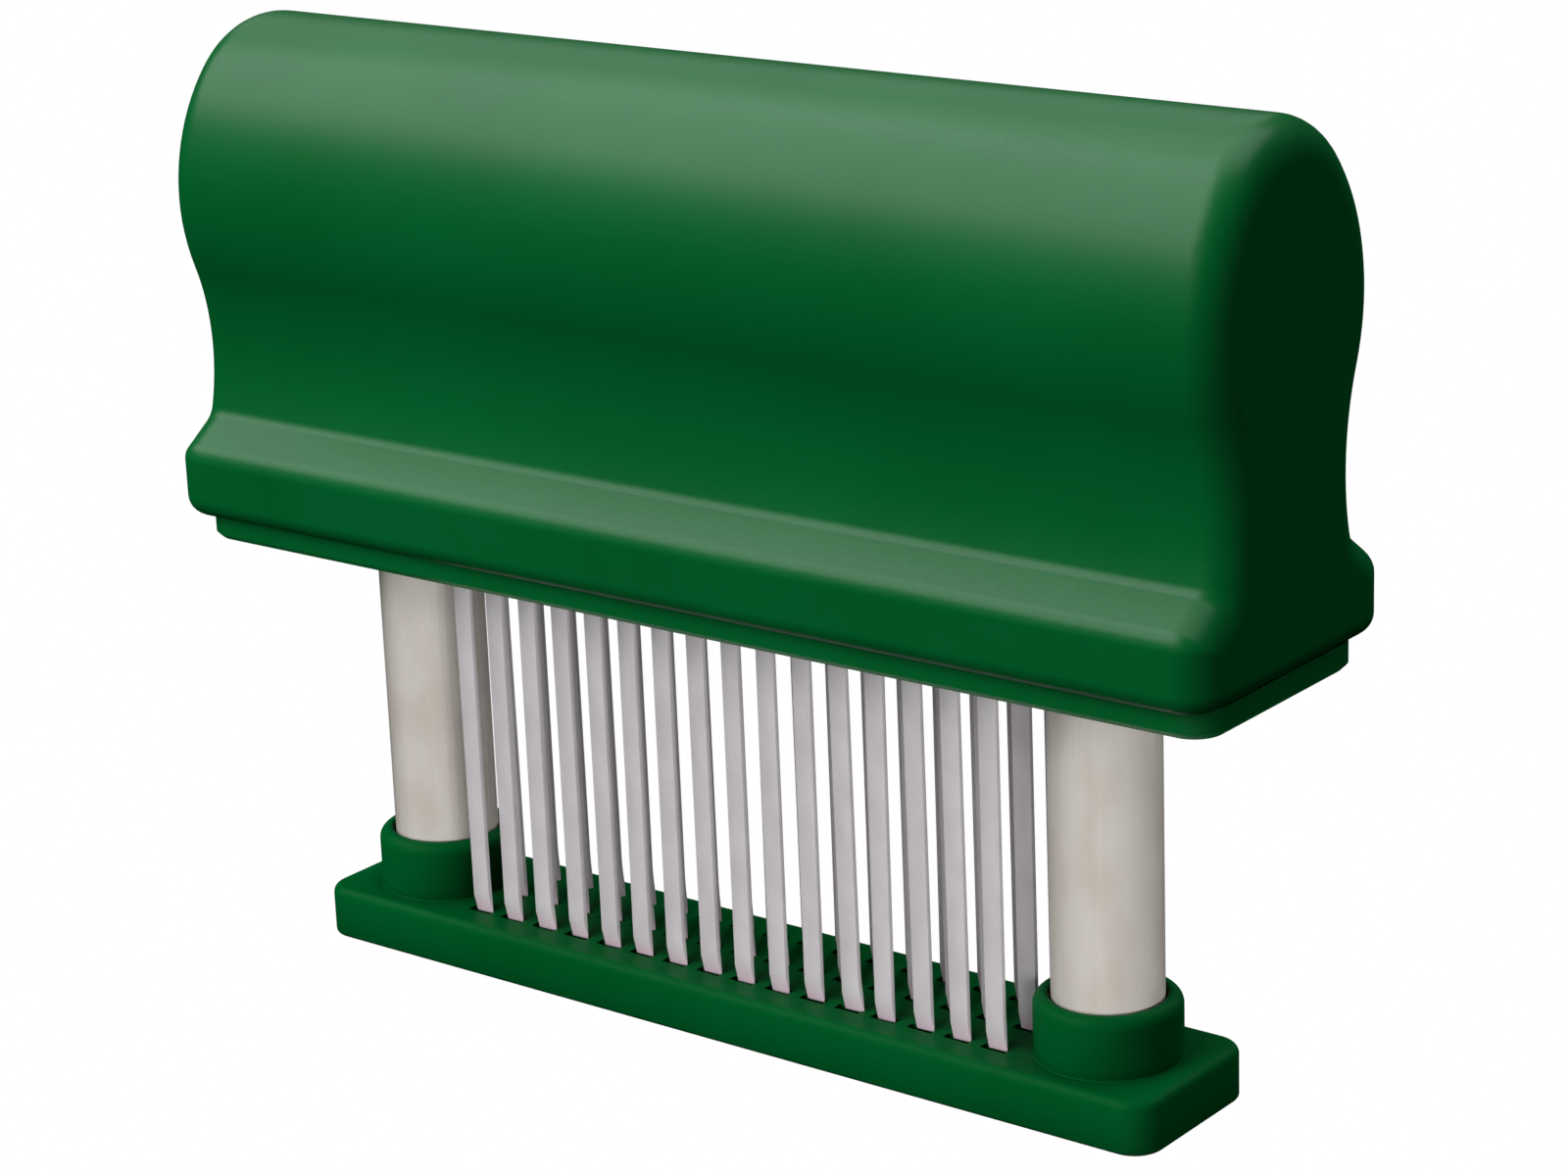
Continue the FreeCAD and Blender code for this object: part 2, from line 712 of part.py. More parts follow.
def build():
    make_handle_shell()
    make_bottom_cover()
    make_blade_block()
    for row, step in rows.items():
        make_blade_row(row, step)
        make_blade_keeper(row, step)
    make_foot_plate()
    for side, sign in sides.items():
        make_post(side, sign)
        make_stop_nut(side, sign)
        make_post_plug(side, sign)
        make_spring(side, sign)
    make_screw_pair("CoverScrews", "cover_screws", "cover_screw", cover_screw_x,
                    cover_bottom + size("screw_sink"))
    make_screw_pair("FootScrews", "foot_screws", "foot_screw", post_x, size("screw_sink"))
    document.recompute()


def check_and_export():
    for item in document.Objects:
        if "Invalid" in item.State or "Error" in item.State:
            raise ValueError(f"{item.Name} failed: {item.State}")
    for item in subparts:
        if item.Shape.isNull() or not item.Shape.isValid():
            raise ValueError(f"{item.Label} has no valid shape")
    os.makedirs("parts", exist_ok=True)
    for item in subparts:
        item.Shape.exportStep(f"parts/{item.Label}.step")
        box = item.Shape.BoundBox
        print(f"{item.Label:20s} solids {len(item.Shape.Solids):3d}  volume {item.Shape.Volume:10.2f}  "
              f"x {box.XMin:8.2f} {box.XMax:8.2f}  y {box.YMin:7.2f} {box.YMax:7.2f}  "
              f"z {box.ZMin:7.2f} {box.ZMax:7.2f}")


build()
check_and_export()
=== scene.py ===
import bmesh
import bpy
import math
from mathutils import Matrix, Vector


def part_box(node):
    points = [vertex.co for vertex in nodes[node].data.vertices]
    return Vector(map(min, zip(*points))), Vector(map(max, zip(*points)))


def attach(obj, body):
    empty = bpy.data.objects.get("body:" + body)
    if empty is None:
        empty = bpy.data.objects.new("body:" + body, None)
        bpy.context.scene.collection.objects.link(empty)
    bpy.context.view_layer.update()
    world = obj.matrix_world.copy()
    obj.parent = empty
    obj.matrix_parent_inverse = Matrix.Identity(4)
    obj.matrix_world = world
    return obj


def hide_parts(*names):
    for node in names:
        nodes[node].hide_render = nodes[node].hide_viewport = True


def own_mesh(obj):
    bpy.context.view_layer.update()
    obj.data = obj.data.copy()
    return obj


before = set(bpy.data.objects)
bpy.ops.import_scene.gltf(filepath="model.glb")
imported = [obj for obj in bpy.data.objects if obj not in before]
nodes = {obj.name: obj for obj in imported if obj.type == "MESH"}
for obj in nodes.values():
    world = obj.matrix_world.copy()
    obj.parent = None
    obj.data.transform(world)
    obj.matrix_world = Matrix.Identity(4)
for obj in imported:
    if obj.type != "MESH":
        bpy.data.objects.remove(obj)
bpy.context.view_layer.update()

scene = bpy.context.scene
print("frame loaded:", len(nodes), "nodes")


# nodes, for materials and for Geometry Nodes alike
def addNode(tree, kind, **settings):  # in_Some_Name sets the input called Some Name
    node = tree.nodes.new(kind)
    for key, value in settings.items():
        if key.startswith("in_"):
            node.inputs[key[3:].replace("_", " ")].default_value = value
        else:
            setattr(node, key, value)
    return node


def link(tree, source, target):
    tree.links.new(source, target)


def newMaterial(name):
    material = bpy.data.materials.new(name)
    material.use_nodes = True
    tree = material.node_tree
    return material, tree, tree.nodes["Principled BSDF"]


def objectCoordinates(tree, scale=(1, 1, 1)):
    coords = addNode(tree, "ShaderNodeTexCoord")
    mapping = addNode(tree, "ShaderNodeMapping", in_Scale=scale)
    link(tree, coords.outputs["Object"], mapping.inputs["Vector"])
    return mapping.outputs["Vector"]


def noiseFrom(tree, vector, scale, detail, roughness=0.5):
    noise = addNode(tree, "ShaderNodeTexNoise", in_Scale=scale, in_Detail=detail, in_Roughness=roughness)
    link(tree, vector, noise.inputs["Vector"])
    return noise.outputs["Fac"]


def ramp(tree, factor, stops):
    node = addNode(tree, "ShaderNodeValToRGB")
    band = node.color_ramp
    while len(band.elements) < len(stops):
        band.elements.new(0.5)
    for element, (place, colour) in zip(band.elements, stops):
        element.position = place
        element.color = (*colour, 1)
    link(tree, factor, node.inputs["Fac"])
    return node.outputs["Color"]


def spread(tree, factor, low, high, start=0.3, end=0.7):
    node = addNode(tree, "ShaderNodeMapRange", in_From_Min=start, in_From_Max=end, in_To_Min=low,
                   in_To_Max=high)
    link(tree, factor, node.inputs["Value"])
    return node.outputs["Result"]


def bumpFrom(tree, height, strength, distance):
    node = addNode(tree, "ShaderNodeBump", in_Strength=strength, in_Distance=distance)
    link(tree, height, node.inputs["Height"])
    return node.outputs["Normal"]


def mixColours(tree, share, first, second, blend="MIX"):  # each is an output or a plain value
    node = addNode(tree, "ShaderNodeMix", data_type="RGBA", blend_type=blend)
    for number, given in ((0, share), (6, first), (7, second)):  # a colour mix's own inputs
        if isinstance(given, bpy.types.NodeSocket):
            link(tree, given, node.inputs[number])
        else:
            node.inputs[number].default_value = given
    return node.outputs[2]


def newTree(name, inputs):
    tree = bpy.data.node_groups.new(name, "GeometryNodeTree")
    sockets = tree.interface
    sockets.new_socket("Geometry", in_out="INPUT", socket_type="NodeSocketGeometry")
    sockets.new_socket("Geometry", in_out="OUTPUT", socket_type="NodeSocketGeometry")
    for socket, kind in inputs.items():
        sockets.new_socket(socket, in_out="INPUT", socket_type="NodeSocket" + kind)
    return tree, addNode(tree, "NodeGroupInput"), addNode(tree, "NodeGroupOutput")


gridInputs = {"Columns": "Int", "Rows": "Int", "Pitch": "Float", "Row Spacing": "Float"}


def gridPoints(tree, given):
    field = addNode(tree, "GeometryNodeMeshGrid")
    for size, count, step in (("Size X", "Columns", "Pitch"), ("Size Y", "Rows", "Row Spacing")):
        fewer = addNode(tree, "ShaderNodeMath", operation="SUBTRACT")
        fewer.inputs[1].default_value = 1
        link(tree, given.outputs[count], fewer.inputs[0])
        reach = addNode(tree, "ShaderNodeMath", operation="MULTIPLY")
        link(tree, fewer.outputs[0], reach.inputs[0])
        link(tree, given.outputs[step], reach.inputs[1])
        link(tree, reach.outputs[0], field.inputs[size])
    link(tree, given.outputs["Columns"], field.inputs["Vertices X"])
    link(tree, given.outputs["Rows"], field.inputs["Vertices Y"])
    return field.outputs["Mesh"]


def moved(tree, geometry, place):
    node = addNode(tree, "GeometryNodeTransform")
    link(tree, place, node.inputs["Translation"])
    link(tree, geometry, node.inputs["Geometry"])
    return node.outputs[0]


def raised(tree, geometry, height):
    place = addNode(tree, "ShaderNodeCombineXYZ")
    link(tree, height, place.inputs["Z"])
    return moved(tree, geometry, place.outputs[0])


def realized(tree, geometry):
    node = addNode(tree, "GeometryNodeRealizeInstances")
    link(tree, geometry, node.inputs[0])
    return node.outputs[0]


def closeTree(tree, geometry, result, material):
    finish = addNode(tree, "GeometryNodeSetMaterial", in_Material=material)
    link(tree, realized(tree, geometry), finish.inputs["Geometry"])
    link(tree, finish.outputs[0], result.inputs[0])
    return tree


# meshes are worked out in millimetres
def meshFrom(name, points, faces):
    shape = bpy.data.meshes.new(name)
    shape.from_pydata([Vector(point) * 0.001 for point in points], [], faces)
    return shape


def millimetres(values):
    return {name: value * 0.001 if isinstance(value, float) else value for name, value in values.items()}


def arc(middle, radius, start, end, steps, side=1):  # rows of place and outward direction
    points = []
    for step in range(steps + 1):
        angle = start + (end - start) * step / steps
        ray = (math.cos(angle), math.sin(angle))
        points.append((middle[0] + radius * ray[0], middle[1] + radius * ray[1],
                       side * ray[0], side * ray[1]))
    return points


def fourCorners(across, deep):
    return (across, deep), (-across, deep), (-across, -deep), (across, -deep)


def roundedOutline(middles, radius, steps):
    outline = []
    for number, middle in enumerate(middles):
        outline += arc(middle, radius, math.pi / 2 * number, math.pi / 2 * (number + 1), steps)
    return outline


def addRing(points, ring):  # gives back the numbers of the new points
    points.extend(ring)
    return list(range(len(points) - len(ring), len(points)))


def edgesAround(ring):
    return list(zip(ring, ring[1:] + ring[:1]))


def facesBetween(low, high):
    return [(a, b, d, c) for (a, b), (c, d) in zip(edgesAround(low), edgesAround(high))]


def softShade(shape, crease):
    for polygon in shape.polygons:
        polygon.use_smooth = True
    shape.set_sharp_from_angle(angle=math.radians(crease))


def growMesh(name, start, tree, values):  # runs the tree on the start mesh and keeps a plain mesh
    carrier = bpy.data.objects.new("carrier", start)
    scene.collection.objects.link(carrier)
    modifier = carrier.modifiers.new(name, "NODES")
    modifier.node_group = tree
    for item in tree.interface.items_tree:
        if item.in_out == "INPUT" and item.name in values:
            modifier[item.identifier] = values[item.name]
    bpy.context.view_layer.update()
    graph = bpy.context.evaluated_depsgraph_get()
    shape = bpy.data.meshes.new_from_object(carrier.evaluated_get(graph))
    shape.name = name
    carrier.modifiers.remove(modifier)
    bpy.data.objects.remove(carrier)
    return shape


def finishPiece(name, shape, body, slot, material, *replaced):
    piece = bpy.data.objects.new(name, shape)
    scene.collection.objects.link(piece)
    shape.materials.clear()
    shape.materials.append(material)
    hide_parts(*replaced)
    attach(piece, body)
    return piece


# green moulded plastic: soft clouds of colour, a fine grain, and painted shade that darkens the colour in
# corners and recesses
satinGreen = {"deep": (0.0, 0.094, 0.0185), "pale": (0.0, 0.104, 0.022), "cloudScale": 45.0,
              "grainScale": 2600.0, "grainBump": 0.04, "rough": (0.30, 0.39),
              "gloss": (0.92, 1.0, 0.94, 1), "bend": 1.45, "paintedCornerShade": (0.12, 0.12, 0.08),
              "paintedShadeReach": 0.004}
# the foot's copy of the same green: its base colour is painted darker as shade under the handle, with
# wider painted corner shade and a weaker gloss
paintedShadeGreen = dict(satinGreen, deep=(0.0, 0.077, 0.0145), pale=(0.0, 0.085, 0.0175),
                   rough=(0.34, 0.43), bend=1.11, paintedShadeReach=0.012)


def greenPlastic(name, values):
    material, tree, shader = newMaterial(name)
    vector = objectCoordinates(tree)
    cloud = noiseFrom(tree, vector, values["cloudScale"], 4.0)
    grain = noiseFrom(tree, vector, values["grainScale"], 2.0, 0.6)
    # painted shade: ambient occlusion darkens the base colour in corners, recesses and between parts
    corners = addNode(tree, "ShaderNodeAmbientOcclusion", samples=8, in_Distance=values["paintedShadeReach"])
    plain = ramp(tree, cloud, [(0.35, values["deep"]), (0.65, values["pale"])])
    paintedCornerShade = ramp(tree, corners.outputs["AO"], [(0.15, values["paintedCornerShade"]), (0.75, (1, 1, 1))])
    link(tree, mixColours(tree, 1, plain, paintedCornerShade, "MULTIPLY"), shader.inputs["Base Color"])
    link(tree, spread(tree, grain, *values["rough"]), shader.inputs["Roughness"])
    link(tree, bumpFrom(tree, grain, values["grainBump"], 0.0003), shader.inputs["Normal"])
    shader.inputs["IOR"].default_value = values["bend"]
    shader.inputs["Specular Tint"].default_value = values["gloss"]
    return material


# steel: fine lines along the drawn length, and soft scuffs
drawnSteel = {"colour": (0.545, 0.512, 0.468), "rough": (0.33, 0.25), "metal": 0.25,
              "lines": (700, 700, 12), "lineShade": 0.95, "bump": 0.03, "scuffs": 170.0,
              "scuffStretch": (1, 1, 0.55), "mottle": (0.86, 0.84, 0.82)}
# the blades' steel; its tip entry paints a pinkish sheen on the ground edge
stripSteel = dict(drawnSteel, colour=(0.515, 0.490, 0.503), rough=(0.45, 0.37), lines=(420, 420, 30),
                  bump=0.06, scuffs=320.0, mottle=(0.91, 0.90, 0.90),
                  tip={"colour": (0.56, 0.40, 0.48, 1), "share": 0.6, "full": 0.0066, "gone": 0.0086})


def paintedTipSheen(tree, plain, tip):  # painted sheen: the ground edge gets a pinkish painted reflection, which fades out upwards
    coords = addNode(tree, "ShaderNodeTexCoord")
    height = addNode(tree, "ShaderNodeSeparateXYZ")
    link(tree, coords.outputs["Object"], height.inputs[0])
    share = spread(tree, height.outputs["Z"], tip["share"], 0.0, tip["full"], tip["gone"])
    return mixColours(tree, share, plain, tip["colour"])


def steel(name, values):
    material, tree, shader = newMaterial(name)
    drawn = noiseFrom(tree, objectCoordinates(tree, values["lines"]), 1.0, 4.0)
    scuffs = noiseFrom(tree, objectCoordinates(tree, values["scuffStretch"]), values["scuffs"], 2.0)
    shaded = tuple(part * values["lineShade"] for part in values["colour"])
    lines = ramp(tree, drawn, [(0.3, shaded), (0.7, values["colour"])])
    marks = ramp(tree, scuffs, [(0.30, values["mottle"]), (0.60, (1, 1, 1))])
    colour = mixColours(tree, 1, lines, marks, "MULTIPLY")
    # painted sheen at the blade tips
    if "tip" in values:
        colour = paintedTipSheen(tree, colour, values["tip"])
    link(tree, colour, shader.inputs["Base Color"])
    link(tree, spread(tree, drawn, *values["rough"]), shader.inputs["Roughness"])
    link(tree, bumpFrom(tree, drawn, values["bump"], 0.0001), shader.inputs["Normal"])
    shader.inputs["Metallic"].default_value = values["metal"]
    return material


# nylon, spring wire and fasteners: a plain colour with a close grain
nylon = {"low": (0.018, 0.018, 0.019), "high": (0.030, 0.030, 0.031), "scale": 160.0,
         "rough": (0.49, 0.63), "metal": 0.0}
wire = {"low": (0.42, 0.42, 0.43), "high": (0.56, 0.56, 0.57), "scale": 500.0,
        "rough": (0.22, 0.36), "metal": 1.0}
stainless = {"low": (0.50, 0.49, 0.48), "high": (0.64, 0.63, 0.62), "scale": 400.0,
             "rough": (0.28, 0.42), "metal": 1.0}


def plainFinish(name, values):
    material, tree, shader = newMaterial(name)
    vector = objectCoordinates(tree)
    cloud = noiseFrom(tree, vector, values["scale"], 4.0)
    grain = noiseFrom(tree, vector, values["scale"] * 9, 2.0)
    colour = ramp(tree, cloud, [(0.3, values["low"]), (0.7, values["high"])])
    link(tree, colour, shader.inputs["Base Color"])
    link(tree, spread(tree, grain, *values["rough"]), shader.inputs["Roughness"])
    link(tree, bumpFrom(tree, grain, 0.15, 0.0003), shader.inputs["Normal"])
    shader.inputs["Metallic"].default_value = values["metal"]
    return material


handleGreen = greenPlastic("handleGreen", satinGreen)
footGreen = greenPlastic("footGreen", paintedShadeGreen)
postSteel = steel("postSteel", drawnSteel)
bladeSteel = steel("bladeSteel", stripSteel)
blackNylon = plainFinish("blackNylon", nylon)
springWire = plainFinish("springWire", wire)
plainStainless = plainFinish("plainStainless", stainless)

nodeFinishes = {
    handleGreen: ["bottom_cover"],
    postSteel: ["post_left", "post_right"],
    blackNylon: ["blade_block", "post_plug_left", "post_plug_right"],
    plainStainless: ["blade_keeper_front", "blade_keeper_middle", "blade_keeper_rear", "stop_nut_left",
                     "stop_nut_right", "foot_screws", "cover_screws"],
}
for material, names in nodeFinishes.items():
    for name in names:
        nodes[name].data.materials.clear()
        nodes[name].data.materials.append(material)
print("finishes done")

# the handle: one S-shaped section from crown to flange, which draws in round both ends
grip = {"length": 146.5, "crown": 113.3, "bulbLevel": 93.0, "bulb": 16.2, "flankRadius": 23.6,
        "waistLevel": 74.0, "waist": 12.6, "flare": 13.7, "cove": 2.0, "slope": 54.0, "flange": 18.7,
        "shoulder": 2.8, "leastShoulder": 0.9, "endRound": 4.3, "underRound": 2.4, "base": 54.5,
        "wall": 2.4, "endWall": 3.0, "mouth": 14.7, "mouthTop": 62.2, "spans": 10,
        "steps": {"crown": 12, "flank": 18, "waist": 14, "cove": 8, "shoulder": 8, "under": 8, "end": 10}}


def gripHalf(form, inset):  # the back half of the section, moved in by the inset
    steps = form["steps"]
    flank = form["flankRadius"]
    flankY = form["bulb"] - flank
    lift = form["bulbLevel"] - form["crown"]
    drop = form["waistLevel"] - form["bulbLevel"]
    apart = form["waist"] - flankY
    crownRadius = (flank ** 2 - flankY ** 2 - lift ** 2) / (2 * (lift + flank))
    waistRadius = (apart ** 2 + drop ** 2 - flank ** 2) / (2 * (flank - apart))
    crownZ = form["crown"] - crownRadius
    waistY = form["waist"] + waistRadius
    crownTurn = math.atan2(crownZ - form["bulbLevel"], -flankY)
    waistTurn = math.atan2(drop, waistY - flankY)
    flare, slope = math.radians(form["flare"]), math.radians(form["slope"])
    reach = waistRadius - form["cove"]
    coveMiddle = (waistY - reach * math.cos(flare), form["waistLevel"] - reach * math.sin(flare))
    fall = math.cos(slope) * coveMiddle[0] + math.sin(slope) * coveMiddle[1] - form["cove"] - inset
    shoulder = max(form["shoulder"] - inset, form["leastShoulder"])
    shoulderY = form["flange"] - inset - shoulder
    shoulderZ = (fall - shoulder - math.cos(slope) * shoulderY) / math.sin(slope)
    half = arc((0, crownZ), crownRadius - inset, math.pi / 2, crownTurn, steps["crown"])
    half += arc((flankY, form["bulbLevel"]), flank - inset, crownTurn, waistTurn, steps["flank"])[1:]
    half += arc((waistY, form["waistLevel"]), waistRadius + inset, waistTurn + math.pi, math.pi + flare,
                steps["waist"], -1)[1:]
    half += arc(coveMiddle, form["cove"] + inset, math.pi + flare, math.pi + slope, steps["cove"], -1)[1:]
    half += arc((shoulderY, shoulderZ), shoulder, slope, 0, steps["shoulder"])
    half.append((form["flange"] - inset, form["base"] + form["underRound"], 1, 0))
    return half


def weldedMesh(name, points, faces, normals):  # joins doubled points and keeps the given normals
    shape = meshFrom(name, points, faces)
    work = bmesh.new()
    work.from_mesh(shape)
    layer = work.verts.layers.float_vector.new("outward")
    work.verts.ensure_lookup_table()
    for vertex, normal in zip(work.verts, normals):
        vertex[layer] = normal
    bmesh.ops.remove_doubles(work, verts=work.verts, dist=1e-6)  # metres
    bmesh.ops.dissolve_degenerate(work, edges=work.edges, dist=1e-7)
    bmesh.ops.recalc_face_normals(work, faces=work.faces)
    for face in work.faces:
        face.smooth = True
    outward = [tuple(vertex[layer]) for vertex in work.verts]
    work.verts.layers.float_vector.remove(layer)
    work.to_mesh(shape)
    work.free()
    shape.normals_split_custom_set_from_vertices(outward)
    return shape


def gripStations(form):  # rows of side, turn of the end round, and place along the handle
    edge, endRound, steps = form["length"] / 2, form["endRound"], form["steps"]["end"]
    straight = edge - endRound
    turns = [math.pi / 2 * step / steps for step in range(steps, -1, -1)]
    stations = [(-1, turn, -edge + endRound * (1 - math.sin(turn))) for turn in turns]
    stations += [(0, 0.0, -straight + 2 * straight * step / form["spans"])
                 for step in range(1, form["spans"])]
    stations += [(1, turn, edge - endRound * (1 - math.sin(turn))) for turn in reversed(turns)]
    return stations


def gripMesh(form):
    points, normals, faces = [], [], []
    stations = gripStations(form)

    def both(half):
        return [(-y, z, -ny, nz) for y, z, ny, nz in reversed(half)] + half[1:]

    def skin(sections):  # closes both ends and gives back the open lower rim
        rows = []
        for x, along, around, section in sections:
            rows.append(addRing(points, [(x, y, z) for y, z, ny, nz in section]))
            normals.extend((along, around * ny, around * nz) for y, z, ny, nz in section)
        count = len(rows[0])
        for low, high in zip(rows, rows[1:]):
            faces.extend((low[j], low[j + 1], high[j + 1], high[j]) for j in range(count - 1))
        for row in (rows[0], rows[-1]):
            middle = count // 2
            faces.extend((row[j], row[j + 1], row[-2 - j], row[-1 - j]) for j in range(middle - 1))
            faces.append((row[middle - 1], row[middle], row[middle + 1]))
        return [row[0] for row in rows] + [row[-1] for row in reversed(rows)]

    outer = []
    for side, turn, x in stations:
        inset = form["endRound"] * (1 - math.cos(turn))
        outer.append((x, side * math.sin(turn), math.cos(turn), both(gripHalf(form, inset))))
    rim = skin(outer)
    starts = [(Vector(points[index]), Vector((*normals[index][:2], 0)).normalized()) for index in rim]
    steps = form["steps"]["under"]
    for step in range(1, steps + 1):  # the round under the flange
        angle = math.pi / 2 * step / steps
        ring = addRing(points, [place - outward * form["underRound"] * (1 - math.cos(angle))
                                - Vector((0, 0, form["underRound"] * math.sin(angle)))
                                for place, outward in starts])
        normals.extend(tuple(outward * math.cos(angle) - Vector((0, 0, math.sin(angle))))
                       for place, outward in starts)
        faces.extend(facesBetween(rim, ring))
        rim = ring
    core = [(y, z, 0, 0) for y, z, ny, nz in gripHalf(form, form["wall"])
            if z > form["waistLevel"] - 1e-6]  # below the waist the hollow drops straight to its mouth
    core += [(form["waist"] - form["wall"], form["mouthTop"], 0, 0),
             (form["mouth"], form["mouthTop"], 0, 0), (form["mouth"], form["base"], 0, 0)]
    stop = form["length"] / 2 - form["endWall"]
    mouth = skin([(max(-stop, min(stop, x)), 0, 0, both(core)) for side, turn, x in stations])
    faces.extend(facesBetween(rim, mouth))
    return weldedMesh("handleMoulding", points, faces, normals)


finishPiece("handleMoulding", gripMesh(grip), "handle", "handle_plastic", handleGreen, "handle_shell")
print("handle moulding done")

# the guard foot: a plate with a turned collar at each post, then its slots are cut
grid = {"Columns": 16, "Rows": 3, "Pitch": 5.08, "Row Spacing": 6.35}  # each blade has its slot
foot = {"length": 121.4, "width": 22.0, "corner": 3.6, "height": 6.3, "topRound": 1.1, "underRound": 0.5,
        "postX": 49.0, "collar": 8.4, "collarTop": 13.5, "collarRound": 1.4, "collarRoot": 0.12,
        "mouth": 6.6, "mouthRound": 0.35, "mouthDepth": 2.4, "socket": 6.38, "seat": 3.6, "shank": 1.7,
        "head": 3.15, "headDepth": 1.8, "collarSides": 72, "crease": 35,
        "steps": {"corner": 10, "under": 4, "top": 8, "root": 3, "rim": 9, "lip": 5},
        "slots": {**grid, "Slot Length": 3.4, "Slot Width": 1.25, "Depth": 9.0, "Middle": 3.0}}


def plateRings(form, points):
    steps, corner, under, over = (form[key] for key in ("steps", "corner", "underRound", "topRound"))
    outline = roundedOutline(fourCorners(form["length"] / 2 - corner, form["width"] / 2 - corner),
                             corner, steps["corner"])
    edge = [(under - y, z + under) for y, z, a, b in arc((0, 0), under, -math.pi / 2, 0, steps["under"])]
    edge += [(over - y, form["height"] - over + z) for y, z, a, b in
             arc((0, 0), over, 0, math.pi / 2, steps["top"])]
    return [addRing(points, [(x - nx * inset, y - ny * inset, z) for x, y, nx, ny in outline])
            for inset, z in edge]


def collarRings(form, points, x):
    steps, root, rim, lip = (form[key] for key in ("steps", "collarRoot", "collarRound", "mouthRound"))
    turned = [(y, z) for y, z, a, b in
              arc((form["collar"] + root, form["height"] + root), root, -math.pi / 2, -math.pi,
                  steps["root"])
              + arc((form["collar"] - rim, form["collarTop"] - rim), rim, 0, math.pi / 2, steps["rim"])
              + arc((form["mouth"] + lip, form["collarTop"] - lip), lip, math.pi / 2, math.pi,
                    steps["lip"])]
    ledge = form["collarTop"] - form["mouthDepth"]
    turned += [(form["mouth"], ledge), (form["socket"], ledge), (form["socket"], form["seat"]),
               (form["shank"], form["seat"]), (form["shank"], form["headDepth"]),
               (form["head"], form["headDepth"]), (form["head"], 0)]
    sides = form["collarSides"]
    circle = arc((0, 0), 1, 0, 2 * math.pi * (1 - 1 / sides), sides - 1)
    return [addRing(points, [(x + radius * across, radius * deep, z) for across, deep, a, b in circle])
            for radius, z in turned]


def footMesh(form):
    points, faces = [], []
    plate = plateRings(form, points)
    collars = [collarRings(form, points, side * form["postX"]) for side in (-1, 1)]
    for rings in (plate, *collars):
        for low, high in zip(rings, rings[1:]):
            faces.extend(facesBetween(low, high))
    under = [plate[0]] + [rings[-1] for rings in collars]
    top = [plate[-1]] + [rings[0] for rings in collars]
    shape = meshFrom("footPlate", points, faces)
    work = bmesh.new()
    work.from_mesh(shape)
    work.verts.ensure_lookup_table()
    for rings in (under, top):
        edges = [work.edges.get((work.verts[a], work.verts[b])) for ring in rings
                 for a, b in edgesAround(ring)]
        bmesh.ops.triangle_fill(work, use_beauty=True, edges=edges)
    bmesh.ops.recalc_face_normals(work, faces=work.faces)
    print("foot open edges:", sum(1 for edge in work.edges if not edge.is_manifold))
    work.to_mesh(shape)
    work.free()
    return shape


def slotTree(material):
    tree, given, result = newTree("slotField", {
        **gridInputs, "Slot Length": "Float", "Slot Width": "Float", "Depth": "Float", "Middle": "Float"})
    size = addNode(tree, "ShaderNodeCombineXYZ")
    for socket, name in (("X", "Slot Length"), ("Y", "Slot Width"), ("Z", "Depth")):
        link(tree, given.outputs[name], size.inputs[socket])
    cutter = addNode(tree, "GeometryNodeMeshCube")
    link(tree, size.outputs[0], cutter.inputs["Size"])
    stand = addNode(tree, "GeometryNodeInstanceOnPoints")
    link(tree, gridPoints(tree, given), stand.inputs["Points"])
    link(tree, cutter.outputs["Mesh"], stand.inputs["Instance"])
    cutters = raised(tree, realized(tree, stand.outputs[0]), given.outputs["Middle"])
    cut = addNode(tree, "GeometryNodeMeshBoolean", operation="DIFFERENCE", solver="EXACT")
    link(tree, given.outputs["Geometry"], cut.inputs["Mesh 1"])
    link(tree, cutters, cut.inputs["Mesh 2"])
    return closeTree(tree, cut.outputs["Mesh"], result, material)


guard = growMesh("guardFoot", footMesh(foot), slotTree(footGreen), millimetres(foot["slots"]))
softShade(guard, foot["crease"])
guardFoot = finishPiece("guardFoot", guard, "foot", "foot_plastic", footGreen, "foot_plate")
weighted = guardFoot.modifiers.new("weighted", "WEIGHTED_NORMAL")
weighted.keep_sharp = True
print("guard foot done:", len(guard.polygons), "faces")

# the blades: four kinds of stamped tip, picked by seed and leaned a little about the pivot level
blade = {"width": 2.4, "thick": 0.65, "edgeRound": 0.07, "edgeSteps": 2, "tip": 6.05, "tipThick": 0.1,
         "bevel": 2.2, "pivot": 51.5, "top": 62.7, "headWidth": 3.8, "headTop": 68.7, "crease": 30,
         "flares": (0.0, 0.08, 0.20, 0.30),
         "flareFade": ((0.0, 0.7), (1.4, 0.2), (2.8, 0.0)),  # height above the bevel, share left
         "field": {**grid, "Seed": 7},
         "turns": {"Lean": 0.22, "Sway": 0.3}}  # degrees


